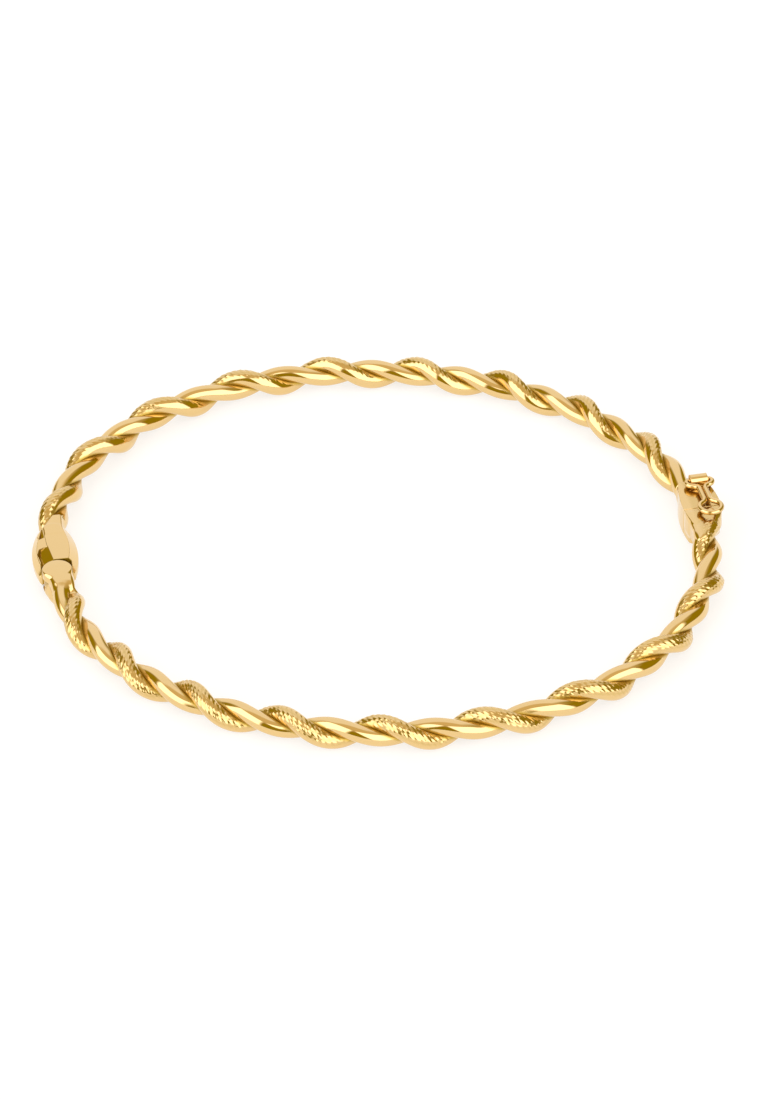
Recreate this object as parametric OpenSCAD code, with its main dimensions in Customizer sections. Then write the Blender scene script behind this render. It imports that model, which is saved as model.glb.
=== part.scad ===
// Hinged bangle of two twisted strands, closed and lying flat. Millimetres, +Z up.
// The origin is the middle of the wrist hollow, on the surface that the bangle lies on.
// +X runs from the hinge to the clasp and -Y is the front half.

/* [Ring] */
// Half length of the oval that the strands follow
ring_a = 30; // [26:0.5:34]
// Half width of the oval
ring_b = 26.8; // [24:0.2:30]
// Angle of the oval's long axis from the hinge-to-clasp line
oval_turn = -21.5; // [-30:0.5:0]
// How far the oval is drawn in at the hinge
hinge_dip = 0.7; // [0:0.1:1]
// Distance from the hinge over which it is drawn in
dip_len = 14; // [10:1:20]

/* [Strands] */
// Diameter of the plain strand
plain_d = 1.52; // [1.3:0.02:1.6]
// Diameter of the textured strand
textured_d = 1.6; // [1.4:0.02:1.7]
// Distance of the plain strand from the twist's axis
plain_off = 0.4; // [0.35:0.01:0.5]
// Distance of the textured strand from the twist's axis
textured_off = 0.77; // [0.7:0.01:0.85]
// Length of one full turn of the twist
pitch = 8.6; // [8:0.1:10]
// Degrees that the twist gains towards the ends of each half
drift = 23; // [0:1:30]
// Direction of the textured strand at the middle of the back half, from +Z outwards
back_turn = 259; // [0:1:360]
// Direction of the textured strand at the middle of the front half
front_turn = 13; // [0:1:360]

/* [Hinge] */
// Place of the housing's middle, as an angle on the oval
hinge_at = 200.5; // [197:0.1:204]
// Widest half width of the housing
housing_half_w = 2.07; // [1.95:0.02:2.3]
// Distance from the housing's middle to its pin
pin_ahead = 3.25; // [3:0.05:3.6]
// Radius of the knuckle's leaves
leaf_r = 1.38; // [1.25:0.01:1.4]

/* [Clasp] */
// Place of the clasp's middle, as an angle on the oval
clasp_at = 23.5; // [20:0.1:27]
// Widest half width of the clasp
clasp_half_w = 1.76; // [1.7:0.02:2]
// Width of the hidden tongue
tongue_w = 1.9; // [1.5:0.1:2.1]
// Angle that the resting safety catch makes with the clasp's top
catch_lift = 2; // [2:0.5:6]
// Diameter of the safety catch's wire
catch_wire_d = 0.48; // [0.4:0.02:0.5]

/* [Hidden] */
$fn = 64;

gold = "#e3bd7c";
pale_gold = "#f0d49a";

// The bangle rests on the textured strand's lowest lobes, so its middle plane is this high.
mid_z = textured_off + textured_d / 2;

// Facing flats of the two strands, as distances from the twist's axis towards the textured strand
flat_mid = 0.135;
strand_gap = 0.05;
section_points = 12;
steps_per_turn = 14;
drift_len = 40;

// Fittings
fit_h = 2.7;
end_gap = 0.04;
housing_side_r = 10;
housing_round_r = 2.1;
housing_belly_r = 9;
housing_back = 3.75;
cheek_len = 0.3;
pocket_low = -0.8;
neck_len = 1.5;
neck_half_w = 1.1;
neck_round_r = 1.4;
neck_turn = 36;
leaf_gap = 0.07;
mid_leaf_h = 0.96;
mid_leaf_r = 1.25;
pin_r = 0.3;
pin_play = 0.04;
dome_r = 1.16;
dome_h = 0.2;
dome_step = 0.05;
sole_r = 0.95;
sole_h = 0.6;
leaf_top = fit_h / 2 - 0.13;

clasp_side_r = 12;
clasp_round_r = 2.05;
clasp_belly_r = 30;
box_back = 3.8;
seam_at = -0.6;
seam_gap = 0.07;
cap_front = -2.7;
cap_round_r = 3.2;
cap_round_x = -0.9;
tongue_h = 0.9;
tongue_len = 2.7;
tongue_play = 0.14;
catch_out = 0.5;
tube_back = 3;
tube_r = 0.56;
tube_half = 0.8;
tube_play = 0.05;
tube_up = 1.75;
tube_foot = 0.35;
catch_r = catch_wire_d / 2;
corner_r = 0.38;
shoulder_r = 0.5;
waist_r = 0.6;
waist_half = catch_r + 0.02;
eye_r = 0.98;
eye_far = 4.5;
ball_r = 0.42;
ball_up = 1.2;

// The oval. t is its own angle, which starts at its long axis and runs anticlockwise.
oval_m = sqrt((ring_a * ring_a + ring_b * ring_b) / 2);
oval_k = (ring_a * ring_a - ring_b * ring_b) / (ring_a * ring_a + ring_b * ring_b);

function turned(p) = let (c = cos(oval_turn), s = sin(oval_turn)) [p.x * c - p.y * s, p.x * s + p.y * c];
// Distance along the oval from t = 0, as the first terms of its series
function along(t) = oval_m * (t * PI / 180 * (1 - oval_k * oval_k / 16)
    - oval_k / 4 * sin(2 * t) - oval_k * oval_k / 64 * sin(4 * t));
// The angle at a distance along the oval, by repeated steps from a first guess
function angle_at(s, t, n = 5) = n == 0 ? t
    : angle_at(s, t + (s - along(t)) / (oval_m * sqrt(1 - oval_k * cos(2 * t))) * 180 / PI, n - 1);
function outward(t) = let (v = [ring_b * cos(t), ring_a * sin(t)]) turned(v / norm(v));
function ahead(t) = [-outward(t).y, outward(t).x];
function dip(t) = let (d = abs(along(t) - along(hinge_at)))
    d < dip_len ? hinge_dip * pow(cos(90 * d / dip_len), 2) : 0;
function ring_point(t, out = 0) = turned([ring_a * cos(t), ring_b * sin(t)]) + (out - dip(t)) * outward(t);
function heading(t) = atan2(outward(t).y, outward(t).x);

// Where the strands of each half begin and end
back_from = angle_at(along(clasp_at) + box_back + end_gap, clasp_at);
back_to = angle_at(along(hinge_at) - housing_back - end_gap, hinge_at);
front_from = angle_at(along(hinge_at) + pin_ahead + neck_len + end_gap, hinge_at);
front_to = angle_at(along(clasp_at + 360) + cap_front - end_gap, clasp_at + 360);
neck_at = angle_at(along(hinge_at) + pin_ahead + neck_len, hinge_at);

// Direction of the textured strand round the twist's axis
function twist(t, mid, turn) = let (s = along(t) - along(mid))
    turn + 360 * s / pitch - drift * pow(s / drift_len, 2);

// Section of a strand: a round wire, wider across because it runs at a slant, with a flat at a distance
// from the twist's axis. u points away from the axis and w across it.
function across(d, off) = d / 2 / cos(atan(2 * PI * off / pitch));
function section(d, off, flat) = let (end = acos((flat - off) * 2 / d))
    [for (i = [0 : section_points - 1]) let (a = -end + 2 * end * i / (section_points - 1))
        [off + d / 2 * cos(a), across(d, off) * sin(a)]];

// Sweeps a section along the oval from one angle to the other, turning with the twist. Each end is cut
// square to a fitting: ends holds the angles on the oval whose directions the two ends are square to.
// The facing flats of two strands are split along the same diagonal, chosen by side.
module strand(d, off, flat, phase, side, from, to, ends, mid, turn) {
    ring = section(d, off, flat);
    n = len(ring);
    length = along(to) - along(from);
    steps = ceil(length / pitch * steps_per_turn);
    points = [for (i = [0 : steps]) let (
            t = angle_at(along(from) + length * i / steps, from + (to - from) * i / steps),
            a = twist(t, mid, turn) + phase,
            fitting = i == 0 ? ends[0] : i == steps ? ends[1] : t,
            slant = tan(heading(t) - heading(fitting))
        ) for (p = ring) let (
            out = p.x * sin(a) + p.y * cos(a),
            place = ring_point(t, out) - (out - dip(t)) * slant * ahead(t)
        ) [place.x, place.y, mid_z + p.x * cos(a) - p.y * sin(a)]];
    sides = [for (i = [0 : steps - 1], j = [0 : n - 1]) let (
            a = i * n + j, b = i * n + (j + 1) % n, c = a + n, e = b + n
        ) each j == n - 1 && side > 0 ? [[a, c, e], [a, e, b]] : [[a, c, b], [b, c, e]]];
    first = [for (j = [0 : n - 1]) j];
    last = [for (j = [n - 1 : -1 : 0]) steps * n + j];
    polyhedron(points, concat(sides, [first, last]), convexity = 20);
}

module plain_wire(from, to, ends, mid, turn) {
    strand(plain_d, plain_off, strand_gap / 2 - flat_mid, 180, 1, from, to, ends, mid, turn);
}

module textured_wire(from, to, ends, mid, turn) {
    strand(textured_d, textured_off, strand_gap / 2 + flat_mid, 0, -1, from, to, ends, mid, turn);
}

module plain_wire_back() {
    color(pale_gold) plain_wire(back_from, back_to, [clasp_at, hinge_at], 90, back_turn);
}

module textured_wire_back() {
    color(gold) textured_wire(back_from, back_to, [clasp_at, hinge_at], 90, back_turn);
}

module plain_wire_front() {
    color(pale_gold) plain_wire(front_from, front_to, [neck_at, clasp_at], 270, front_turn);
}

module textured_wire_front() {
    color(gold) textured_wire(front_from, front_to, [neck_at, clasp_at], 270, front_turn);
}

// Children are drawn at a place on the ring: x outward, y along the ring, z from its middle plane.
module at_ring(t) {
    p = ring_point(t);
    translate([p.x, p.y, mid_z]) rotate([0, 0, heading(t)]) children();
}

// Almond-shaped block between two places along its own y axis. Its sides are arcs in plan, and its upper
// and lower edges are rounded by a barrel of its own radius and belly.
module almond(half_w, side_r, round_r, belly_r, from, to) {
    intersection() {
        translate([0, 0, -fit_h / 2]) linear_extrude(fit_h) intersection() {
            translate([half_w - side_r, 0]) circle(side_r, $fn = 180);
            translate([side_r - half_w, 0]) circle(side_r, $fn = 180);
            translate([-half_w - 1, from]) square([2 * half_w + 2, to - from]);
        }
        rotate([-90, 0, 0]) rotate_extrude($fn = 96) intersection() {
            translate([round_r - belly_r, 0]) circle(belly_r, $fn = 180);
            translate([0, from - 1]) square([round_r + 1, to - from + 2]);
        }
    }
}

// Room for one leaf of the knuckle: round about the pin, with square corners behind it
leaf_back = pin_ahead - leaf_r - leaf_gap;
leaf_side = leaf_r - 0.02;
module leaf_room() {
    union() {
        translate([0, pin_ahead]) circle(leaf_r + leaf_gap);
        translate([-leaf_side, leaf_back]) square([2 * leaf_side, pin_ahead + 1 - leaf_back]);
    }
}

// Pocket behind the knuckle on the outer side
module pocket() {
    polygon([
        [0.3, leaf_back + 0.1], [0.65, leaf_back - 2], [leaf_side + 0.06, leaf_back - 0.75],
        [leaf_side, leaf_back + 0.6], [0.5, leaf_back + 0.1]
    ]);
}

module hinge_housing() {
    color(pale_gold) at_ring(hinge_at) difference() {
        union() {
            difference() {
                almond(housing_half_w, housing_side_r, housing_round_r, housing_belly_r,
                    -housing_back, pin_ahead - cheek_len);
                translate([0, 0, mid_leaf_h / 2]) linear_extrude(fit_h) leaf_room();
                translate([0, 0, -mid_leaf_h / 2 - fit_h]) linear_extrude(fit_h) leaf_room();
            }
            translate([0, pin_ahead, -mid_leaf_h / 2]) cylinder(r = mid_leaf_r, h = mid_leaf_h);
        }
        translate([0, 0, pocket_low]) linear_extrude(fit_h) pocket();
        translate([0, pin_ahead, -fit_h]) cylinder(r = pin_r + pin_play, h = 2 * fit_h);
    }
}

pin_point = ring_point(hinge_at) + pin_ahead * ahead(hinge_at);

// Plan of the neck between the knuckle and the front strands, in the ring's frame. It leaves the
// knuckle's round at an angle from the outward direction, so that it swings clear of the housing.
module neck_plan() {
    across_in = -leaf_r * cos(neck_turn) * outward(hinge_at);
    on = leaf_r * sin(neck_turn) * ahead(hinge_at);
    polygon([
        pin_point,
        pin_point + across_in + on,
        ring_point(neck_at, -neck_half_w),
        ring_point(neck_at, neck_half_w),
        pin_point - across_in + on
    ]);
}

// Height of the slot that the housing's middle leaf runs in, measured from the middle plane
leaf_low = mid_leaf_h / 2 + leaf_gap;

module hinge_knuckle() {
    color(gold) difference() {
        union() {
            difference() {
                intersection() {
                    translate([0, 0, mid_z - fit_h / 2]) linear_extrude(leaf_top + fit_h / 2) neck_plan();
                    at_ring(neck_at) translate([0, 1, 0]) rotate([90, 0, 0])
                        cylinder(r = neck_round_r, h = 8, $fn = 96);
                }
                at_ring(hinge_at) translate([0, pin_ahead, -leaf_low])
                    cylinder(r = mid_leaf_r + leaf_gap, h = 2 * leaf_low);
            }
            at_ring(hinge_at) translate([0, pin_ahead, 0]) {
                translate([0, 0, leaf_low]) cylinder(r = leaf_r, h = leaf_top - leaf_low);
                translate([0, 0, sole_h - fit_h / 2]) cylinder(r = leaf_r, h = fit_h / 2 - sole_h - leaf_low);
                translate([0, 0, -fit_h / 2]) cylinder(r1 = sole_r, r2 = leaf_r, h = sole_h);
                intersection() {
                    translate([0, 0, leaf_low]) cylinder(r = dome_r, h = fit_h);
                    translate([0, 0, leaf_top + dome_step + dome_h - dome_ball()])
                        sphere(dome_ball(), $fn = 128);
                }
            }
        }
        at_ring(hinge_at) translate([0, pin_ahead, -fit_h])
            cylinder(r = pin_r + pin_play, h = fit_h + leaf_top - 0.15);
    }
}

// Radius of the ball whose cap is the knuckle's dome
function dome_ball() = (dome_r * dome_r + dome_h * dome_h) / (2 * dome_h);

module hinge_pin() {
    color(gold) at_ring(hinge_at) translate([0, pin_ahead, -fit_h / 2 + 0.05])
        cylinder(r = pin_r, h = fit_h / 2 + leaf_top - 0.25);
}

// Direction from the hinge pin to the clasp, which the tongue's slide is square to
function swing_turn() = let (reach = ring_point(clasp_at) - pin_point)
    atan2(reach.y, reach.x) - heading(clasp_at);

// The tongue, or with play all round, the slot that takes it
module tongue(play) {
    translate([0, seam_at, 0]) rotate([0, 0, swing_turn()])
        translate([-tongue_w / 2 - play, -0.8, -tongue_h / 2 - play])
            cube([tongue_w + 2 * play, 0.8 + tongue_len + play, tongue_h + 2 * play]);
}

module clasp_box() {
    color(pale_gold) at_ring(clasp_at) difference() {
        union() {
            almond(clasp_half_w, clasp_side_r, clasp_round_r, clasp_belly_r, seam_at, box_back);
            translate([catch_out - tube_half, tube_back, tube_up]) rotate([0, 90, 0])
                cylinder(r = tube_r, h = 2 * tube_half);
            translate([catch_out - tube_half, tube_back - tube_foot, 0.8])
                cube([2 * tube_half, 2 * tube_foot, tube_up - 0.8]);
        }
        tongue(tongue_play);
        translate([catch_out - tube_half - 1, tube_back, tube_up]) rotate([0, 90, 0])
            cylinder(r = catch_r + tube_play, h = 2 * tube_half + 2);
    }
}

module clasp_tongue() {
    color(gold) at_ring(clasp_at) union() {
        intersection() {
            almond(clasp_half_w, clasp_side_r, clasp_round_r, clasp_belly_r, cap_front, seam_at - seam_gap);
            translate([cap_round_x, cap_front + cap_round_r - 0.1, -fit_h])
                cylinder(r = cap_round_r, h = 2 * fit_h);
        }
        tongue(0);
        translate([catch_out, tube_back - eye_far, ball_up]) sphere(ball_r);
    }
}

// Centre line of the safety catch, in its own plane: x along its tube, y from the tube to the far eye.
// It is one closed wire: a straight rod, a corner, a shoulder, the waist, half the eye, and back.
function bend(centre, r, from, to, n) = [for (i = [0 : n]) let (a = from + (to - from) * i / n)
    centre + r * [cos(a), sin(a)]];
shoulder_turn = 65;
corner_x = tube_half + corner_r;
shoulder_c = [corner_x - shoulder_r, corner_r];
shoulder_end = shoulder_c + shoulder_r * [cos(shoulder_turn), sin(shoulder_turn)];
waist_in = shoulder_end + waist_r * [cos(shoulder_turn), sin(shoulder_turn)];
waist_shift = waist_in.x - waist_r - waist_half;
waist_c = waist_in + waist_shift * [-sin(shoulder_turn), cos(shoulder_turn)] / sin(shoulder_turn);
flare_x = waist_half + waist_r;
flare_y = eye_far - sqrt(pow(eye_r + waist_r, 2) - flare_x * flare_x);
flare_turn = atan2(eye_far - flare_y, flare_x);
right_side = concat(
    bend([corner_x - corner_r, corner_r], corner_r, -90, 0, 4),
    bend(shoulder_c, shoulder_r, 0, shoulder_turn, 4),
    bend(waist_c, waist_r, 180 + shoulder_turn, 180, 4),
    bend([flare_x, flare_y], waist_r, 180, 180 - flare_turn, 4),
    bend([0, eye_far], eye_r, -flare_turn, 82, 10)
);
left_side = [for (i = [len(right_side) - 1 : -1 : 0]) [-right_side[i].x, right_side[i].y]];
catch_line = concat(right_side, left_side);

module safety_catch() {
    sides = 10;
    n = len(catch_line);
    points = [for (i = [0 : n - 1]) let (
            run = catch_line[(i + 1) % n] - catch_line[(i + n - 1) % n],
            across = [run.y, -run.x] / norm(run)
        ) for (j = [0 : sides - 1]) let (
            a = 360 * j / sides,
            place = catch_line[i] + catch_r * cos(a) * across
        ) [place.x, -place.y, catch_r * sin(a)]];
    faces = [for (i = [0 : n - 1], j = [0 : sides - 1]) let (
            a = i * sides + j, b = i * sides + (j + 1) % sides,
            c = (i + 1) % n * sides + j, e = (i + 1) % n * sides + (j + 1) % sides
        ) each [[a, c, b], [b, c, e]]];
    color(gold) at_ring(clasp_at) translate([catch_out, tube_back, tube_up]) rotate([-catch_lift, 0, 0])
        polyhedron(points, faces, convexity = 10);
}

plain_wire_back();
textured_wire_back();
plain_wire_front();
textured_wire_front();
hinge_housing();
hinge_knuckle();
hinge_pin();
clasp_box();
clasp_tongue();
safety_catch();
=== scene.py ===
import bpy
import numpy as np
from mathutils import Matrix, Vector


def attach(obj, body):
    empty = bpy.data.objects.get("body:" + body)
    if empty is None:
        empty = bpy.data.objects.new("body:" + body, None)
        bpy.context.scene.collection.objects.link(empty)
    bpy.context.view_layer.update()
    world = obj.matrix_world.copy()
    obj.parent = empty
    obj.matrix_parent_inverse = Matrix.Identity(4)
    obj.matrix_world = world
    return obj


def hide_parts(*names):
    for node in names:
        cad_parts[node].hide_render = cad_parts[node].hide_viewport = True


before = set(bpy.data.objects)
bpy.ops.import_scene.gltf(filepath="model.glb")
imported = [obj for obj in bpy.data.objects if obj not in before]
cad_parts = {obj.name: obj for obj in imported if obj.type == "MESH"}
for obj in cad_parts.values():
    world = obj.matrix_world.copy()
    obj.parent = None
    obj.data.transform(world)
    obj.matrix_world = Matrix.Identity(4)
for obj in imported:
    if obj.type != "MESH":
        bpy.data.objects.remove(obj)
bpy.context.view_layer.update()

MM = 0.001

# Oval that the strands follow
ring_a = 30.0
ring_b = 26.8
oval_turn = np.radians(-21.5)
hinge_dip = 0.7
dip_len = 14.0
mid_z = 1.57
floor_gap = 0.03

# Strands. Each turns once in a pitch, and falls behind by drift at drift_len from its half's middle.
plain_d = 1.52
textured_d = 1.6
plain_off = 0.4
textured_off = 0.77
pitch = 8.6
drift = np.radians(23)
drift_len = 40.0
back_turn = np.radians(259)
front_turn = np.radians(13)
flat_mid = 0.135
end_in = 0.35
end_in_housing = 0.9
end_size = 0.62
end_taper = 0.3
stub_under = 0.015

# Scales of the textured strands
scale_long = 0.86
scale_wide = 0.66
scale_high = 0.058
scale_crown = 1.2
scale_lots = 64
scale_seed = 5
height_change = 0.3
tilt_change = 0.4

# All fittings: their height, and the roundings of sharp, crisp and soft edges
fit_h = 2.7
sharp_r = 0.02
crisp_r = 0.03
soft_r = 0.1

# Hinge
hinge_at = np.radians(200.5)
opening = np.radians(35)
housing_half_w = 2.07
housing_side_r = 10.0
housing_round_r = 2.1
housing_belly_r = 9.0
housing_back = 3.75
housing_bevel = 0.75
shoulder_step = 0.07
shoulder_fall = 0.34
cheek_len = 0.3
cheek_play = 0.07
pin_ahead = 3.25
pin_r = 0.3
pin_play = 0.04
pin_cover = 0.15
leaf_r = 1.38
leaf_gap = 0.07
seen_gap = 0.035
mid_leaf_h = 0.96
mid_leaf_r = 1.25
leaf_back = pin_ahead - leaf_r - seen_gap
leaf_side = leaf_r - 0.02
leaf_low = mid_leaf_h / 2 + leaf_gap
leaf_top = fit_h / 2 - 0.13
foot_h = 0.6
foot_r = 0.95
dome_top = 1.47
dome_rise = 0.13
rim_r = 0.13
front_rim_r = 0.35
neck_len = 1.5
neck_end = 2.6
neck_round_r = 1.6
neck_lean = 0.25
neck_narrow = 0.24
neck_fall = 0.068
neck_droop = 0.25
droop_from = 1.0

# Clasp. It ends the front half a lap further on than it starts the back half.
clasp_at = np.radians(23.5)
clasp_lap = clasp_at + 2 * np.pi
clasp_half_w = 1.76
clasp_side_r = 12.0
clasp_round_r = 2.45
clasp_belly_r = 30.0
box_back = 3.8
seam_at = -0.6
seam_gap = 0.03
cap_front = -2.7
cap_round_r = 3.2
cap_round_x = -0.9
cap_overlap = 0.1
lobe_outer = 0.64
lobe_inner = -1.62
lobe_bend = -2.6
lobe_cosine = 0.829
lobe_sine = 0.559
lobe_front = -5.2
lobe_back = -1.0
lobe_low = -0.6
lobe_top = 1.28
tongue_w = 1.9
tongue_h = 0.9
tongue_len = 2.7
tongue_root = -0.8
tongue_play = 0.14

# Safety catch, its tube and its ball
catch_out = 0.5
catch_lift = np.radians(3)
catch_r = 0.24
catch_play = 0.05
tube_back = 3.0
tube_r = 0.56
tube_half = 0.8
tube_up = 1.75
tube_foot = 0.35
tube_foot_low = 0.8
eye_far = 4.5
eye_r = 0.98
ball_r = 0.52
ball_up = 1.22

# Painted shade in the crevice between the strands, between the scales, under the catch's wire and under the
# catch: its share of the colour, and the lengths over which it is found
seam_shade = 0.85
seam_shade_from = 0.08
seam_shade_to = 0.42
scale_shade = 0.3
catch_underside_shade = 0.8
catch_shadow = 0.22
feeler = 0.22

# Grid of the fittings' meshes
fine_step = 0.045

oval_m = np.sqrt((ring_a**2 + ring_b**2) / 2)
oval_k = (ring_a**2 - ring_b**2) / (ring_a**2 + ring_b**2)


# The oval. t is its own angle in radians, which starts at its long axis and runs anticlockwise. s is the
# distance along it.
def turned(x, y):
    c, s = np.cos(oval_turn), np.sin(oval_turn)
    return np.stack([x * c - y * s, x * s + y * c], -1)


def along(t):
    """Distance along the oval from t = 0."""
    return oval_m * (t * (1 - oval_k**2 / 16) - oval_k / 4 * np.sin(2 * t) - oval_k**2 / 64 * np.sin(4 * t))


def angle_at(s, t):
    """The oval's angle at a distance along it, by repeated steps from the guess t."""
    for _ in range(6):
        t = t + (s - along(t)) / (oval_m * np.sqrt(1 - oval_k * np.cos(2 * t)))
    return t


def outward(t):
    v = turned(ring_b * np.cos(t), ring_a * np.sin(t))
    return v / np.linalg.norm(v, axis=-1, keepdims=True)


def dip(t):
    """How far the ring is pressed in next to the hinge."""
    d = np.abs(along(t) - along(hinge_at))
    return np.where(d < dip_len, hinge_dip * np.cos(np.pi / 2 * d / dip_len) ** 2, 0)


def ring_point(t, out=0.0):
    return turned(ring_a * np.cos(t), ring_b * np.sin(t)) + (out - dip(t))[..., None] * outward(t)


def place_at(t):
    """Matrix to the row frame from a fitting's own frame: x outward, y along the ring, z from its middle
    plane."""
    out = outward(np.float64(t))
    p = ring_point(np.float64(t))
    return np.array([
        [out[0], -out[1], 0, p[0]],
        [out[1], out[0], 0, p[1]],
        [0, 0, 1, mid_z],
        [0, 0, 0, 1],
    ])


def make(name, points, faces, body, node, finish, normals=None, hollow=None):
    """Adds a piece that rides on a body and stands for a node. Points are in millimetres. The shade share
    gives, from 0 to 1 at each point, how much painted shade darkens and dulls it."""
    slot, material = finish
    mesh = bpy.data.meshes.new(name)
    mesh.from_pydata((points * MM).tolist(), [], [list(map(int, f)) for f in faces])
    mesh.shade_smooth()
    if normals is not None:
        mesh.normals_split_custom_set_from_vertices(normals.tolist())
    if hollow is not None:
        depth = mesh.attributes.new("hollow", "FLOAT", "POINT")
        depth.data.foreach_set("value", np.ascontiguousarray(hollow, np.float32))
    mesh.materials.append(material)
    piece = bpy.data.objects.new(name, mesh)
    bpy.context.scene.collection.objects.link(piece)
    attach(piece, body)
    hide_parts(node)
    return piece


def ring_faces(rings, sides, closed=False):
    """Quads of a tube of rings, with a face over each end unless it is closed on itself."""
    ring = np.arange(rings if closed else rings - 1)[:, None] * sides
    next_ring = (ring + sides) % (rings * sides)
    side = np.arange(sides)[None, :]
    next_side = (side + 1) % sides
    quads = [ring + side, next_ring + side, next_ring + next_side, ring + next_side]
    quads = np.stack(quads, -1).reshape(-1, 4).tolist()
    if not closed:
        quads += [list(range(sides)), list(range(rings * sides - 1, (rings - 1) * sides - 1, -1))]
    return quads


def smooth(x, low, high):
    """0 up to low, 1 from high on, and a soft step between them."""
    t = np.clip((x - low) / (high - low), 0, 1)
    return t * t * (3 - 2 * t)


# A kind of strand has a diameter, a distance from the oval and its own start of the twist. A half has its
# middle's angle on the oval, and the twist there.
strand_kinds = {"plain": (plain_d, plain_off, np.pi), "textured": (textured_d, textured_off, 0)}
half_twist = {"back": (np.pi / 2, back_turn), "front": (3 * np.pi / 2, front_turn)}


def twist_at(s, half, phase):
    mid, turn = half_twist[half]
    run = s - along(mid)
    return turn + 2 * np.pi * run / pitch - drift * (run / drift_len) ** 2 + phase


def scales(u, v):
    """Height of the raised scales at a distance u along a strand and v round it. Scale i, j is a lozenge on a
    slanted grid, a and b run from its middle, and its lot changes its height and tilts it."""
    table = np.random.default_rng(scale_seed).uniform(-1, 1, (scale_lots, scale_lots, 3))
    p = u / scale_long + v / scale_wide
    q = u / scale_long - v / scale_wide
    i, j = np.rint(p).astype(int), np.rint(q).astype(int)
    a, b = p - i, q - j
    lot = table[i % scale_lots, j % scale_lots]
    lozenge = np.clip(np.cos(np.pi * a) * np.cos(np.pi * b), 0, 1)
    height = scale_high * (1 + height_change * lot[..., 0]) * lozenge**scale_crown
    tilt = (a + b) * lot[..., 1] * tilt_change + (a - b) * lot[..., 2] * tilt_change
    return height * (1 + tilt)


def centre_line(kind, half, s, near):
    """Points of a strand's middle line at distances s along the oval."""
    _, off, phase = strand_kinds[kind]
    t = angle_at(s, near)
    twist = twist_at(s, half, phase)
    xy = ring_point(t, off * np.sin(twist))
    return np.concatenate([xy, mid_z + (off * np.cos(twist))[:, None]], -1)


def strand(kind, half, start, stop, stops_in, finish, rings, sides, relief=0):
    """A round wire with a flat where it meets the other one. Its ends dive into the fittings, and get
    thinner there. Relief is the height of its scales as a share of the full one. The underside, the side
    towards the wrist and the edge of the flat have none."""
    d, off, phase = strand_kinds[kind]
    side = 1 if phase == 0 else -1
    flat_edge = np.arccos((side * flat_mid - off) * 2 / d)
    around = np.linspace(-flat_edge, flat_edge, sides)
    slant = np.arctan(2 * np.pi * off / pitch)
    half_across = d / 2 / np.cos(slant)
    s = np.linspace(along(start) - end_in, along(stop) + stops_in, rings)[:, None]
    t = angle_at(s, np.linspace(start, stop, rings)[:, None])
    twist = twist_at(s, half, phase)
    from_flat = flat_edge - np.abs(around)
    # Painted shade along the crevice where this strand meets the other one
    hollow = seam_shade * (1 - smooth(from_flat * d / 2, seam_shade_from, seam_shade_to))
    hollow = np.broadcast_to(hollow, (rings, sides))
    lift = 0
    if relief:
        u = s / np.cos(slant) + half_across * np.sin(around) * np.sin(slant)
        v = d / 2 * around
        faces_up = np.cos(twist + around)
        faces_out = np.sin(twist + around)
        covered = smooth(faces_up, -0.15, 0.2) * smooth(faces_out, -0.7, -0.35)
        covered = covered * smooth(from_flat, 0.02, 0.25)
        lift = relief * scales(u, v) * covered
        # Painted shade in the grooves between the scales
        between = (1 - np.clip(lift / scale_high, 0, 1)) ** 2
        hollow = np.maximum(hollow, scale_shade * covered * between)
    taper_in = smooth(s - along(start), -end_in, end_taper)
    taper_out = smooth(along(stop) - s, -stops_in, end_taper)
    size = end_size + (1 - end_size) * taper_in * taper_out
    away = (off + (d / 2 + lift) * np.cos(around)) * size
    aside = (half_across + lift) * np.sin(around) * size
    out = away * np.sin(twist) + aside * np.cos(twist)
    up = away * np.cos(twist) - aside * np.sin(twist)
    xy = ring_point(np.broadcast_to(t, out.shape), out)
    points = np.concatenate([xy, mid_z + up[..., None]], -1).reshape(-1, 3)
    name = kind + "_wire_" + half
    faces = ring_faces(rings, sides)
    return make(name, points, faces, half + "_half", name, finish, hollow=hollow.reshape(-1))


# Fields: each gives the distance to a shape's surface, less than 0 inside it. A slanted side has a factor
# that keeps its distance about true.
def meet(fields, r):
    """Where all the shapes overlap, with its edges rounded."""
    corner = np.sqrt(sum(np.maximum(f + r, 0) ** 2 for f in fields))
    return np.minimum(np.maximum.reduce(fields), -r) + corner


def join(fields, r):
    """All the shapes together, with a fillet in their corners."""
    corner = np.sqrt(sum(np.maximum(r - f, 0) ** 2 for f in fields))
    return np.maximum(np.minimum.reduce(fields), r) - corner


def slab(v, low, high):
    """The space between two flat faces."""
    return np.maximum(low - v, v - high)


def edge_at(edge, y):
    """How far out a straight edge lies at y. An edge is its distance at y = 0 and its change for each mm."""
    return edge[0] + edge[1] * y


def almond(x, y, z, half_w, side_r, round_r, belly_r, bevel):
    """A body with curved sides and a belly, flat above and below. A steep bevel runs along its long edges,
    and reaches in by bevel at the flat faces."""
    slant = np.radians(55)
    plan = np.hypot(np.abs(x) + side_r - half_w, y) - side_r
    barrel = np.hypot(np.hypot(x, z) + belly_r - round_r, y) - belly_r
    flat = np.abs(z) - fit_h / 2
    edge = (plan + bevel) * np.sin(slant) + flat * np.cos(slant)
    return meet([meet([plan, barrel], sharp_r), edge, flat], sharp_r)


def rod(x, y, z, line, r):
    """A round rod along a line of points."""
    nearest = np.full(np.shape(x), np.inf)
    for a, b in zip(line[:-1], line[1:]):
        run = b - a
        t = np.clip(((x - a[0]) * run[0] + (y - a[1]) * run[1] + (z - a[2]) * run[2]) / (run @ run), 0, 1)
        gap = [c - a[n] - t * run[n] for n, c in enumerate((x, y, z))]
        nearest = np.minimum(nearest, gap[0] ** 2 + gap[1] ** 2 + gap[2] ** 2)
    return np.sqrt(nearest) - r


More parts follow.
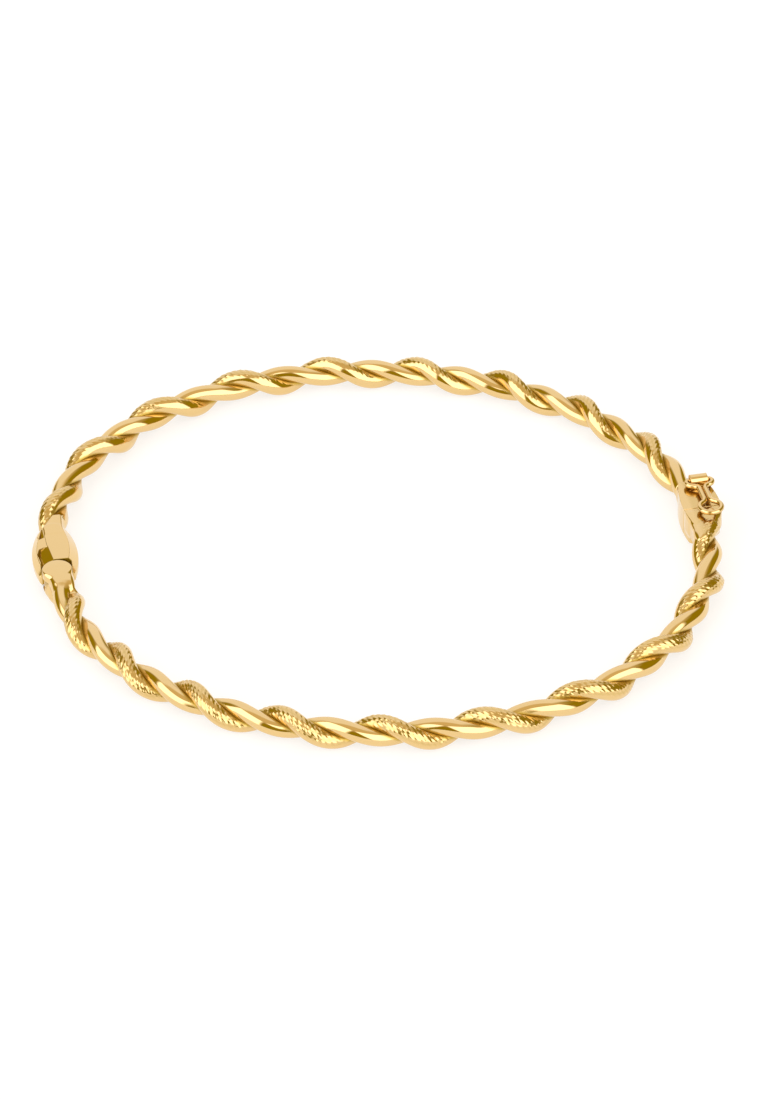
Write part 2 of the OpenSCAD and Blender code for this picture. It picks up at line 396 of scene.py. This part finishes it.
def soldered(x, y, z, body, at, half, start, stop, r):
    """The body with a fillet where the two strands of a half run into it. Beyond the fillet each strand
    covers its own stub. All of it stays floor_gap or more above the surface that the bangle lies on."""
    s = along(at) + np.linspace(start, stop, 6)
    back = np.linalg.inv(place_at(at))
    out = []
    for kind, (d, _, _) in strand_kinds.items():
        line = centre_line(kind, half, s, at) @ back[:3, :3].T + back[:3, 3]
        out.append(join([body, rod(x, y, z, line, d / 2 - stub_under)], r))
    return np.maximum(np.minimum(*out), floor_gap - mid_z - z)


def skin(field, low, high, step):
    """Closed mesh of the places where a field is 0, with its normals: one point in each grid cell that the
    surface crosses, moved onto the surface, and one quad for each grid edge that crosses it."""
    axes = [np.arange(a - 2 * step, b + 3 * step, step) for a, b in zip(low, high)]
    inside = field(*np.meshgrid(*axes, indexing="ij")) < 0
    cells = tuple(n - 1 for n in inside.shape)
    count = np.zeros(cells, int)
    for i in (0, 1):
        for j in (0, 1):
            for k in (0, 1):
                count += inside[i : i + cells[0], j : j + cells[1], k : k + cells[2]]
    mixed = (count > 0) & (count < 8)
    index = np.full(cells, -1)
    index[mixed] = np.arange(mixed.sum())
    where = np.argwhere(mixed)
    points = np.stack([axes[n][where[:, n]] + step / 2 for n in range(3)], -1)
    quads = []
    for axis in range(3):
        u, v = (axis + 1) % 3, (axis + 2) % 3
        front = np.take(inside, range(cells[axis]), axis)
        behind = np.take(inside, range(1, cells[axis] + 1), axis)
        at = np.argwhere(front != behind)
        leaves = front[tuple(at.T)]
        eu, ev = np.eye(3, dtype=int)[[u, v]]
        loop = np.stack([index[tuple(c.T)] for c in (at - eu - ev, at - ev, at, at - eu)], -1)
        quads.append(np.where(leaves[:, None], loop, loop[:, ::-1]))
    quads = np.concatenate(quads)

    def slope(p, h=step / 20):
        around = [field(*(p + h * e).T) - field(*(p - h * e).T) for e in np.eye(3)]
        return np.stack(around, -1) / (2 * h)

    def settle(p):
        """Moves points to the surface, by a grid step at most."""
        g = slope(p)
        shift = -field(*p.T)[:, None] * g / np.maximum((g * g).sum(-1, keepdims=True), 0.05)
        length = np.linalg.norm(shift, axis=-1, keepdims=True)
        return p + shift * np.minimum(1, step / np.maximum(length, 1e-9))

    def spread(p):
        """Moves points half the way to the middle of their neighbours."""
        total = np.zeros_like(p)
        times = np.zeros(len(p))
        for a, b in ((0, 1), (1, 2), (2, 3), (3, 0)):
            np.add.at(total, quads[:, a], p[quads[:, b]])
            np.add.at(times, quads[:, a], 1)
        return 0.5 * p + 0.5 * total / times[:, None]

    for _ in range(4):
        points = settle(points)
    for _ in range(3):
        points = settle(settle(spread(points)))
    g = slope(points)
    return points, quads, g / np.linalg.norm(g, axis=-1, keepdims=True)


def fitting(name, field, low, high, at, body, finish, shade_shape, painted_shade):
    """A fitting whose field is in its own frame on the ring, between two corners of a box. The last two
    arguments give a shape that is painted with shade, and how much shade. Shade is also painted into
    crevices: a crevice is where a feeler that stands on the surface comes close to the surface again."""
    points, quads, normals = skin(field, low, high, fine_step)
    # Painted shade in the crevices that the feeler finds, and in the given shape
    hollow = smooth(1 - field(*(points + feeler * normals).T) / feeler, 0.15, 0.9)
    hollow = np.maximum(hollow, painted_shade * (1 - smooth(shade_shape(*points.T), 0.0, 0.1)))
    place = place_at(at)
    points = points @ place[:3, :3].T + place[:3, 3]
    return make(name, points, quads, body, name, finish, normals @ place[:3, :3].T, hollow)


# Hinge. Its straight edges as seen from above: the crease beside the housing's flat top, and the sides of
# the two hollows and of the tail. The hollows slope down to their outer sides.
crease = (0.62, -0.071)
long_inner = (0.6, -0.18)
long_outer = (1.62, -0.16)
long_back = (1.46, 0.31)
small_inner = (0.66, -0.071)
small_outer = (1.7, 0.24)
long_slant = np.radians(33)
long_start = -0.3
small_sine = 0.62
small_cosine = 0.78
small_from = -3.0
small_to = -1.7
tail_outer = (2.55, 0.54)
tail_inner = -0.95
tail_back = -5.0
tail_front = -2.0
tail_low = -0.7
tail_top = 1.34


def facets(x, y, z):
    """The hollows beside the housing's flat top: a long one next to the knuckle, a small one behind it."""
    high = z - fit_h / 2 + shoulder_step
    long_one = np.maximum.reduce([
        (edge_at(long_inner, y) - x) * np.sin(long_slant) - high * np.cos(long_slant),
        x - edge_at(long_outer, y),
        (x - edge_at(long_back, y)) * 0.95,
        long_start - y,
    ])
    small_one = np.maximum.reduce([
        (edge_at(small_inner, y) - x) * small_sine - high * small_cosine,
        x - edge_at(small_outer, y),
        slab(y, small_from, small_to),
    ])
    return np.minimum(long_one, small_one)


def leaf_room(x, y, z):
    """The room that the knuckle's leaves turn in."""
    about_pin = np.hypot(x, y - pin_ahead)
    plan = np.minimum(about_pin - leaf_r - seen_gap, np.maximum(np.abs(x) - leaf_side, leaf_back - y))
    return np.maximum(plan, mid_leaf_h / 2 - np.abs(z))


def housing_shade(x, y, z):
    """The leaves' room, and the place far back where the strands run in: both get painted shade."""
    return np.minimum(leaf_room(x, y, z), np.maximum(y + 4.8, z - 1.15))


def housing_tail(x, y, z):
    """Runs from the housing's flat top back onto the strands."""
    outer = (x - edge_at(tail_outer, y)) * 0.88
    return meet([outer, tail_inner - x, slab(y, tail_back, tail_front), slab(z, tail_low, tail_top)], r=0.2)


def housing_field(x, y, z):
    about_pin = np.hypot(x, y - pin_ahead)
    body = almond(x, y, z, housing_half_w, housing_side_r, housing_round_r, housing_belly_r, housing_bevel)
    body = meet([body, -housing_back - y], r=0.4)
    body = join([body, housing_tail(x, y, z)], r=0.2)
    body = soldered(x, y, z, body, hinge_at, "back", start=-3.0, stop=-5.6, r=0.4)
    body = meet([body, y - pin_ahead + cheek_len], soft_r)
    past_crease = x - edge_at(crease, y)
    shoulder = np.maximum(-past_crease, fit_h / 2 - shoulder_step - shoulder_fall * past_crease - z)
    body = meet([body, -shoulder], sharp_r)
    body = meet([body, -facets(x, y, z)], sharp_r)
    body = meet([body, -leaf_room(x, y, z)], sharp_r)
    disc = meet([about_pin - mid_leaf_r, np.abs(z) - mid_leaf_h / 2], r=0.05)
    body = np.minimum(body, disc)
    return np.maximum(body, pin_r + pin_play - about_pin)


def knuckle_neck(x, ahead, z):
    """Runs from the knuckle's leaves onto the strands. Its top falls away, and it leans inward."""
    top = z - dome_top + neck_fall * ahead**2 + neck_droop * np.maximum(ahead - droop_from, 0) ** 2
    middle = x + neck_lean * ahead
    side = (np.abs(middle) - leaf_r + neck_narrow * ahead) * 0.93
    barrel = np.hypot(middle, z) - neck_round_r
    return meet([side, barrel, top, -fit_h / 2 - z, slab(ahead, 0, neck_end)], r=0.3)


def knuckle_field(x, y, z):
    ahead = y - pin_ahead
    about_pin = np.hypot(x, ahead)
    narrower = (leaf_r - foot_r) * np.clip((foot_h - fit_h / 2 - z) / foot_h, 0, 1)
    cone = (about_pin - leaf_r + narrower) * 0.9
    ball = (leaf_r**2 + dome_rise**2) / (2 * dome_rise)
    dome = np.sqrt(x**2 + ahead**2 + (z - dome_top + ball) ** 2) - ball
    body = meet([about_pin - leaf_r, dome], rim_r + front_rim_r * smooth(ahead, 0, 1.3))
    body = meet([body, cone, -fit_h / 2 - z], soft_r)
    body = join([body, knuckle_neck(x, ahead, z)], r=0.15)
    body = soldered(x, y, z, body, hinge_at, "front", start=pin_ahead + 1.0, stop=pin_ahead + 3.4, r=0.6)
    # Room for the housing's cheeks and middle leaf, shut and opened
    opened = ahead * np.cos(opening) - x * np.sin(opening)
    cheeks = cheek_play - cheek_len - np.minimum(ahead, opened)
    body = meet([body, np.minimum(about_pin - leaf_r, cheeks)], crisp_r)
    leaf = about_pin - mid_leaf_r - leaf_gap
    room = np.minimum.reduce([leaf, ahead - 0.4, opened + cheek_len - cheek_play])
    body = np.maximum(body, -np.maximum(room, np.abs(z) - leaf_low))
    return np.maximum(body, -np.maximum(about_pin - pin_r - pin_play, z - leaf_top + pin_cover))


def knuckle_shade(x, y, z):
    """The leaves' sides that face into the housing, which get painted shade."""
    about_pin = np.hypot(x, y - pin_ahead)
    return np.maximum.reduce([leaf_r - 0.04 - about_pin, y - pin_ahead, z - 1.0])


# Clasp. The tongue slides square to the direction from the hinge pin to the clasp.
clasp_place = place_at(clasp_at)
pin_place = place_at(hinge_at) @ [0, pin_ahead, 0, 1]
pin_to_clasp = clasp_place[:3, :3].T @ (clasp_place[:3, 3] - pin_place[:3])
swing = np.arctan2(pin_to_clasp[1], pin_to_clasp[0])


def tongue(x, y, z, play):
    """The tongue, or with play all round, the slot that takes it."""
    across = np.cos(swing) * x + np.sin(swing) * (y - seam_at)
    ahead = np.cos(swing) * (y - seam_at) - np.sin(swing) * x
    wide = np.abs(across) - tongue_w / 2 - play
    high = np.abs(z) - tongue_h / 2 - play
    return meet([wide, slab(ahead, tongue_root, tongue_len + play), high], r=0.04)


def clasp_body(x, y, z):
    return almond(x, y, z, clasp_half_w, clasp_side_r, clasp_round_r, clasp_belly_r, bevel=0.0)


def catch_tube(x, y, z):
    """The catch's tube, and the foot that it stands on."""
    wide = np.abs(x - catch_out) - tube_half
    tube = meet([np.hypot(y - tube_back, z - tube_up) - tube_r, wide], r=0.06)
    foot = np.maximum.reduce([wide, np.abs(y - tube_back) - tube_foot, slab(z, tube_foot_low, tube_up)])
    return tube, foot


def box_field(x, y, z):
    body = meet([clasp_body(x, y, z), y - box_back], r=0.45)
    body = soldered(x, y, z, body, clasp_at, "back", start=box_back - 0.8, stop=box_back + 1.6, r=0.4)
    body = meet([body, seam_at - y], crisp_r)
    body = join([body, *catch_tube(x, y, z)], r=0.12)
    bore = np.hypot(y - tube_back, z - tube_up) - catch_r - catch_play
    return np.maximum(body, -np.minimum(bore, tongue(x, y, z, tongue_play)))


def under_catch(x, y, z):
    """The top faces below the safety catch, where the catch's shadow is painted. Its edges are soft."""
    return np.maximum.reduce([np.abs(x - catch_out) - 1.2, slab(z, 1.25, 1.5), y - tube_back - 0.6]) * 0.2


def cap_lobe(x, y, z):
    """Runs from the cap's front over the strands."""
    outer = (x - lobe_outer) * lobe_cosine - (y - lobe_bend) * lobe_sine
    return meet([outer, lobe_inner - x, slab(z, lobe_low, lobe_top), slab(y, lobe_front, lobe_back)], r=0.35)


def cap_field(x, y, z):
    front = np.hypot(x - cap_round_x, y - cap_front - cap_round_r + cap_overlap) - cap_round_r
    body = meet([clasp_body(x, y, z), front], r=0.8)
    body = join([body, cap_lobe(x, y, z)], r=0.4)
    body = soldered(x, y, z, body, clasp_lap, "front", start=cap_front - 1.6, stop=cap_front + 0.8, r=0.5)
    body = meet([body, y - seam_at + seam_gap], crisp_r)
    ball = np.sqrt((x - catch_out) ** 2 + (y - tube_back + eye_far) ** 2 + (z - ball_up) ** 2) - ball_r
    return np.minimum(join([body, ball], r=0.08), tongue(x, y, z, play=0))


# Safety catch: one wire bent to a rod, two corners, shoulders, a waist and a round eye
def bend(centre, r, start, stop, n):
    a = np.radians(np.linspace(start, stop, n))
    return np.stack([centre[0] + r * np.cos(a), centre[1] + r * np.sin(a)], -1)


def catch_line():
    """The wire's middle line as 360 points at even distances, in the catch's own plane."""
    corner_r, shoulder_r, waist_r = 0.38, 0.5, 0.6
    waist_half = catch_r + 0.02
    turn = 65.0
    corner_x = tube_half + corner_r
    shoulder = np.array([corner_x - shoulder_r, corner_r])
    away = np.array([np.cos(np.radians(turn)), np.sin(np.radians(turn))])
    waist_in = shoulder + (shoulder_r + waist_r) * away
    shift = (waist_in[0] - waist_r - waist_half) / away[1]
    waist = waist_in + shift * np.array([-away[1], away[0]])
    flare_x = waist_half + waist_r
    flare_y = eye_far - np.sqrt((eye_r + waist_r) ** 2 - flare_x**2)
    flare = np.degrees(np.arctan2(eye_far - flare_y, flare_x))
    right = np.concatenate([
        [[0.0, 0.0]],
        bend([corner_x - corner_r, corner_r], corner_r, -90, 0, 14),
        bend(shoulder, shoulder_r, 0, turn, 14),
        bend(waist, waist_r, 180 + turn, 180, 14),
        bend([flare_x, flare_y], waist_r, 180, 180 - flare, 14),
        bend([0, eye_far], eye_r, -flare, 90, 28),
    ])
    left = right[-2:0:-1] * [-1, 1]
    line = np.concatenate([right, left, right[:1]])
    run = np.concatenate([[0], np.cumsum(np.linalg.norm(np.diff(line, axis=0), axis=1))])
    even = np.linspace(0, run[-1], 361)[:-1]
    return np.stack([np.interp(even, run, line[:, n]) for n in (0, 1)], -1)


def safety_catch(finish):
    line = catch_line()
    for _ in range(6):
        line = (line + 0.5 * (np.roll(line, 1, 0) + np.roll(line, -1, 0))) / 2
    run = np.roll(line, -1, 0) - np.roll(line, 1, 0)
    side = np.stack([run[:, 1], -run[:, 0]], -1) / np.linalg.norm(run, axis=1)[:, None]
    sides = 24
    a = np.arange(sides) * 2 * np.pi / sides
    flat = line[:, None, :] + catch_r * np.cos(a)[None, :, None] * side[:, None, :]
    high = np.broadcast_to(catch_r * np.sin(a), flat.shape[:2])
    points = np.stack([flat[..., 0], -flat[..., 1], high], -1).reshape(-1, 3)
    c, s = np.cos(-catch_lift), np.sin(-catch_lift)
    lifted = points @ np.array([[1, 0, 0], [0, c, -s], [0, s, c]]).T + [catch_out, tube_back, tube_up]
    points = lifted @ clasp_place[:3, :3].T + clasp_place[:3, 3]
    faces = ring_faces(len(line), sides, True)
    # Painted shade on the underside of the wire
    hollow = np.tile(catch_underside_shade * smooth(-np.sin(a), -0.2, 0.6), len(line))
    make("safety_catch", points, faces, "catch", "safety_catch", finish, hollow=hollow)


# Materials
def gold(name, colour, dark, painted_shade_colour, roughness, grain):
    """Polished gold: its colour drifts a little, its polish is uneven, and fine scratches run over it.
    Painted shade darkens and dulls it as far as each point's shade share says."""
    material = bpy.data.materials.new(name)
    material.use_nodes = True
    nodes, links = material.node_tree.nodes, material.node_tree.links
    shader = nodes["Principled BSDF"]
    shader.inputs["Metallic"].default_value = 1.0
    place = nodes.new("ShaderNodeTexCoord")

    def noise(scale, detail):
        n = nodes.new("ShaderNodeTexNoise")
        n.inputs["Scale"].default_value = scale
        n.inputs["Detail"].default_value = detail
        links.new(place.outputs["Object"], n.inputs["Vector"])
        return n

    tone = noise(scale=260, detail=3)
    mix = nodes.new("ShaderNodeMix")
    mix.data_type = "RGBA"
    mix.inputs["A"].default_value = (*colour, 1)
    mix.inputs["B"].default_value = (*dark, 1)
    links.new(tone.outputs["Fac"], mix.inputs["Factor"])
    # Painted shade: each point's shade share mixes the colour towards the dark shade colour and raises the
    # roughness
    hollow = nodes.new("ShaderNodeAttribute")
    hollow.attribute_name = "hollow"
    painted_shade = nodes.new("ShaderNodeMix")
    painted_shade.data_type = "RGBA"
    painted_shade.inputs["B"].default_value = (*painted_shade_colour, 1)
    links.new(hollow.outputs["Fac"], painted_shade.inputs["Factor"])
    links.new(mix.outputs["Result"], painted_shade.inputs["A"])
    links.new(painted_shade.outputs["Result"], shader.inputs["Base Color"])

    polish = noise(scale=900, detail=4)
    spread = nodes.new("ShaderNodeMapRange")
    spread.inputs["From Min"].default_value = 0.3
    spread.inputs["From Max"].default_value = 0.7
    spread.inputs["To Min"].default_value = roughness * 0.7
    spread.inputs["To Max"].default_value = roughness * 1.4
    links.new(polish.outputs["Fac"], spread.inputs["Value"])
    dull = nodes.new("ShaderNodeMath")
    dull.operation = "MULTIPLY_ADD"
    dull.inputs[1].default_value = 0.4
    links.new(hollow.outputs["Fac"], dull.inputs[0])
    links.new(spread.outputs["Result"], dull.inputs[2])
    links.new(dull.outputs["Value"], shader.inputs["Roughness"])

    fine = noise(scale=6000, detail=2)
    bump = nodes.new("ShaderNodeBump")
    bump.inputs["Strength"].default_value = grain
    bump.inputs["Distance"].default_value = 0.01 * MM
    links.new(fine.outputs["Fac"], bump.inputs["Height"])
    links.new(bump.outputs["Normal"], shader.inputs["Normal"])
    return material


yellow = (0.83, 0.59, 0.27)
polished_dark = (0.81, 0.57, 0.255)
textured_dark = (0.8, 0.56, 0.245)
# Colour of the painted shade in crevices, between the scales and under the safety catch
painted_shade_colour = (0.46, 0.3, 0.02)
polished = ("polished_gold", gold("polished_gold", yellow, polished_dark, painted_shade_colour, roughness=0.07, grain=0.1))
textured = ("textured_gold", gold("textured_gold", yellow, textured_dark, painted_shade_colour, roughness=0.09, grain=0.2))
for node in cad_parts.values():
    node.data.materials.clear()
    node.data.materials.append(polished[1])

# Each half: where its strands start and stop, how far the textured one runs on at the stop, and the
# relief of its scales
halves = {
    "back": (
        angle_at(along(clasp_at) + box_back, clasp_at),
        angle_at(along(hinge_at) - housing_back, hinge_at),
        end_in_housing,
        0.75,
    ),
    "front": (
        angle_at(along(hinge_at) + pin_ahead + neck_len, hinge_at),
        angle_at(along(clasp_lap) + cap_front, clasp_lap),
        end_in,
        1.0,
    ),
}
for half, (start, stop, stops_in, relief) in halves.items():
    strand("plain", half, start, stop, end_in, polished, rings=800, sides=40)
    strand("textured", half, start, stop, stops_in, textured, rings=1450, sides=66, relief=relief)

fitting(
    "hinge_housing", housing_field, (-2.1, -6.4, -1.7), (2.1, 4.6, 1.4), hinge_at,
    "back_half", polished, housing_shade, 1.0,
)
fitting(
    "hinge_knuckle", knuckle_field, (-2.3, 1.7, -1.7), (1.9, 7.5, 1.7), hinge_at,
    "front_half", polished, knuckle_shade, 1.0,
)
fitting(
    "clasp_box", box_field, (-1.8, -0.7, -1.7), (1.8, 6.2, 2.4), clasp_at,
    "back_half", polished, under_catch, catch_shadow,
)
fitting(
    "clasp_tongue", cap_field, (-2.2, -5.7, -1.7), (1.8, 2.4, 1.9), clasp_at,
    "front_half", polished, under_catch, catch_shadow,
)
safety_catch(polished)


# Floor, light and camera
def floor():
    size = 0.6
    mesh = bpy.data.meshes.new("floor")
    corners = [(-size, -size, 0), (size, -size, 0), (size, size, 0), (-size, size, 0)]
    mesh.from_pydata(corners, [], [(0, 1, 2, 3)])
    material = bpy.data.materials.new("floor")
    material.use_nodes = True
    shader = material.node_tree.nodes["Principled BSDF"]
    shader.inputs["Base Color"].default_value = (0.36, 0.36, 0.36, 1)
    shader.inputs["Roughness"].default_value = 0.9
    shader.inputs["Specular IOR Level"].default_value = 0.0
    shader.inputs["Emission Color"].default_value = (1, 1, 1, 1)
    shader.inputs["Emission Strength"].default_value = 0.68
    mesh.materials.append(material)
    plane = bpy.data.objects.new("floor", mesh)
    bpy.context.scene.collection.objects.link(plane)


def studio():
    """A dark studio with a pale ceiling, two large soft boxes and a white card. Each one is a window in the
    sky's directions, with a soft edge."""
    walls = (0.345, 0.265, 0.004)
    ceiling = (0.78, 0.64, 0.38)
    card = (1.04, 1.03, 1.05)
    soft_box = (2.1, 2.1, 2.2)
    world = bpy.data.worlds.new("studio")
    bpy.context.scene.world = world
    world.use_nodes = True
    nodes, links = world.node_tree.nodes, world.node_tree.links
    place = nodes.new("ShaderNodeTexCoord")

    def value_of(operation, a, b=None):
        node = nodes.new("ShaderNodeMath")
        node.operation = operation
        links.new(a, node.inputs[0])
        if b is not None:
            links.new(b, node.inputs[1])
        return node.outputs[0]

    def within(angle, size, edge):
        """1 up to half the size to either side of 0, and 0 beyond, with a soft edge."""
        node = nodes.new("ShaderNodeMapRange")
        node.interpolation_type = "SMOOTHSTEP"
        node.inputs["From Min"].default_value = np.radians((size + edge) / 2)
        node.inputs["From Max"].default_value = np.radians((size - edge) / 2)
        links.new(value_of("ABSOLUTE", angle), node.inputs["Value"])
        return node.outputs["Result"]

    def lit(below, azimuth, elevation, width, height, edge, colour):
        """A window of the given size in degrees, over what is below it."""
        turn = nodes.new("ShaderNodeMapping")
        turn.vector_type = "TEXTURE"
        turn.inputs["Rotation"].default_value = (0, -np.radians(elevation), np.radians(azimuth))
        links.new(place.outputs["Generated"], turn.inputs["Vector"])
        split = nodes.new("ShaderNodeSeparateXYZ")
        links.new(turn.outputs["Vector"], split.inputs["Vector"])
        across = within(value_of("ARCTAN2", split.outputs["Y"], split.outputs["X"]), width, edge)
        high = within(value_of("ARCSINE", split.outputs["Z"]), height, edge)
        mix = nodes.new("ShaderNodeMix")
        mix.data_type = "RGBA"
        mix.inputs["B"].default_value = (*colour, 1)
        links.new(value_of("MULTIPLY", across, high), mix.inputs["Factor"])
        links.new(below, mix.inputs["A"])
        return mix.outputs["Result"]

    split = nodes.new("ShaderNodeSeparateXYZ")
    links.new(place.outputs["Generated"], split.inputs["Vector"])
    ramp = nodes.new("ShaderNodeValToRGB")
    ramp.color_ramp.elements[0].position = 0.6
    ramp.color_ramp.elements[0].color = (*walls, 1)
    ramp.color_ramp.elements[1].position = 0.92
    ramp.color_ramp.elements[1].color = (*ceiling, 1)
    links.new(split.outputs["Z"], ramp.inputs["Fac"])
    sky = ramp.outputs["Color"]
    sky = lit(sky, azimuth=91, elevation=38, width=64, height=76, edge=14, colour=card)
    sky = lit(sky, azimuth=204, elevation=28, width=58, height=62, edge=8, colour=soft_box)
    sky = lit(sky, azimuth=306, elevation=25, width=64, height=68, edge=8, colour=soft_box)
    links.new(sky, nodes["Background"].inputs["Color"])

    data = bpy.data.lights.new("overhead", "AREA")
    data.size = 0.5
    data.energy = 0.35
    light = bpy.data.objects.new("overhead", data)
    light.location = (0, 0, 0.9)
    light.visible_camera = False
    light.visible_glossy = False
    bpy.context.scene.collection.objects.link(light)


def camera():
    """The photo's view. It aims at a point in the wrist hollow, and lengths are in millimetres."""
    distance = 375.0
    turn = np.radians(-5.5)
    azimuth, elevation, roll = np.radians(270) + turn, np.radians(37), np.radians(1.60)
    aim_x, aim_y = 0.358, -1.204
    photo_w = 762
    pixels_a_mm = 11.132
    sensor_w = 36
    target = Vector((
        aim_x * np.cos(turn) - aim_y * np.sin(turn),
        aim_x * np.sin(turn) + aim_y * np.cos(turn),
        mid_z,
    ))
    back = Vector((
        np.cos(elevation) * np.cos(azimuth),
        np.cos(elevation) * np.sin(azimuth),
        np.sin(elevation),
    ))
    level = Vector((-np.sin(azimuth), np.cos(azimuth), 0))
    steep = back.cross(level)
    right = level * np.cos(roll) - steep * np.sin(roll)
    up = level * np.sin(roll) + steep * np.cos(roll)
    data = bpy.data.cameras.new("camera")
    data.sensor_fit = "HORIZONTAL"
    data.sensor_width = sensor_w
    data.lens = pixels_a_mm * distance / photo_w * sensor_w
    data.clip_start, data.clip_end = 0.01, 10
    cam = bpy.data.objects.new("camera", data)
    bpy.context.scene.collection.objects.link(cam)
    axes = Matrix((right, up, back)).transposed().to_4x4()
    cam.matrix_world = Matrix.Translation((target + back * distance) * MM) @ axes
    bpy.context.scene.camera = cam


floor()
studio()
camera()
bpy.context.scene.view_settings.view_transform = "Standard"
